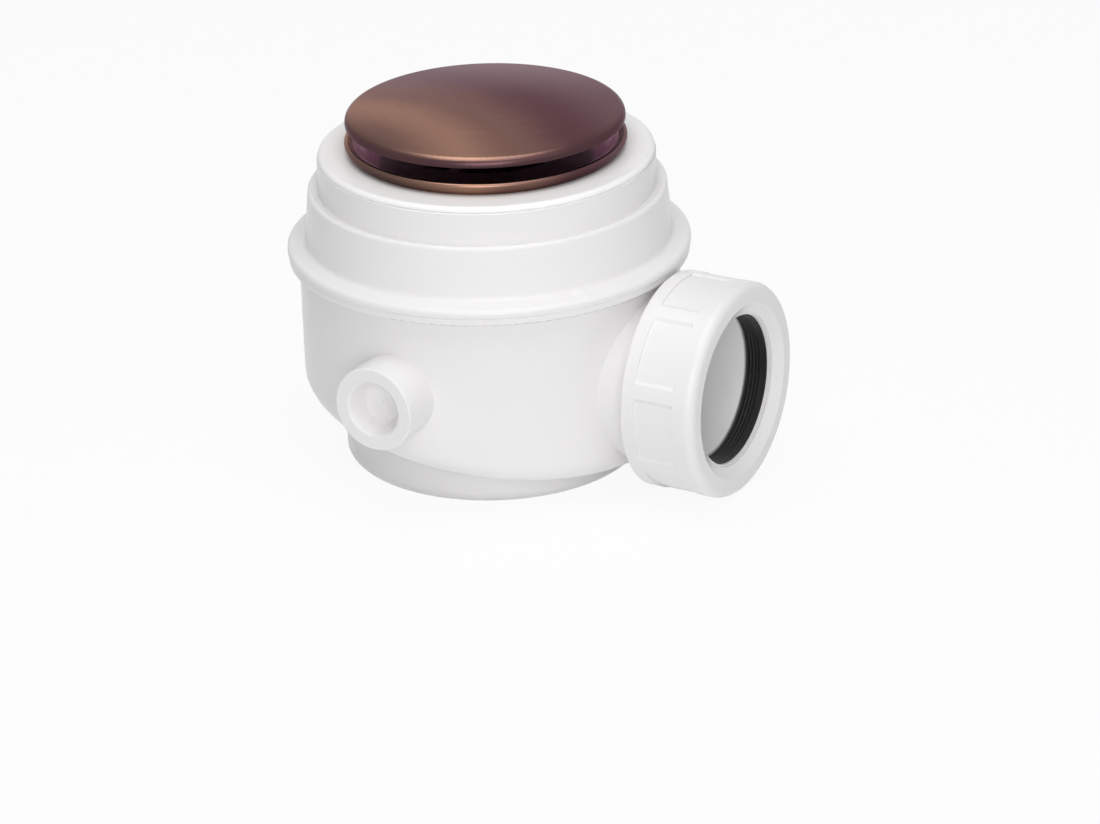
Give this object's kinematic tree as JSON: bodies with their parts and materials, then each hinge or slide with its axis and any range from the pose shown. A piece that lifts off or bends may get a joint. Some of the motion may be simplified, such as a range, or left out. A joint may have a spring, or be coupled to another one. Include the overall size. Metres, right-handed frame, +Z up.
{
  "type": "bath trap",
  "caption": "Low bath trap with a water-seal well, a side outlet with a compression nut, and a press-to-close waste under a crowned cover.",
  "frame": {"origin": "centre of the flat base", "axes": "+Z up along the trap's axis, +X along the outlet, the blanked side inlet points to -Y"},
  "size_m": [0.1338, 0.1188, 0.1013],
  "materials": {
    "white_plastic": "moulded, semi-gloss",
    "white_rubber": "soft, satin",
    "copper_finish": "brushed antique copper",
    "brass": "turned",
    "grey_plastic": "moulded, matt",
    "black_rubber": "matt",
    "spring_steel": "drawn wire"
  },
  "bodies": {
    "trap": {"lower_body": "white_plastic", "upper_housing": "white_plastic", "housing_seal": "black_rubber", "top_gasket": "white_rubber", "waste_flange": "copper_finish", "dip_tube": "white_plastic", "dip_tube_seal": "black_rubber", "latch_housing": "brass", "latch_spring": "spring_steel", "outlet_nut": "white_plastic", "slip_ring": "white_plastic", "outlet_seal": "black_rubber"},
    "plug": {"dome_cover": "copper_finish", "seal_carrier": "grey_plastic", "plug_seal": "black_rubber", "latch_shaft": "brass"}
  },
  "joints": [
    {"name": "plug_press", "type": "slide", "parent": "trap", "child": "plug", "axis": [0, 0, -1], "range_m": [0, 0.0041], "stiffness_N_per_m": 600, "springref_m": -0.008, "deforming": ["latch_spring"]}
  ]
}
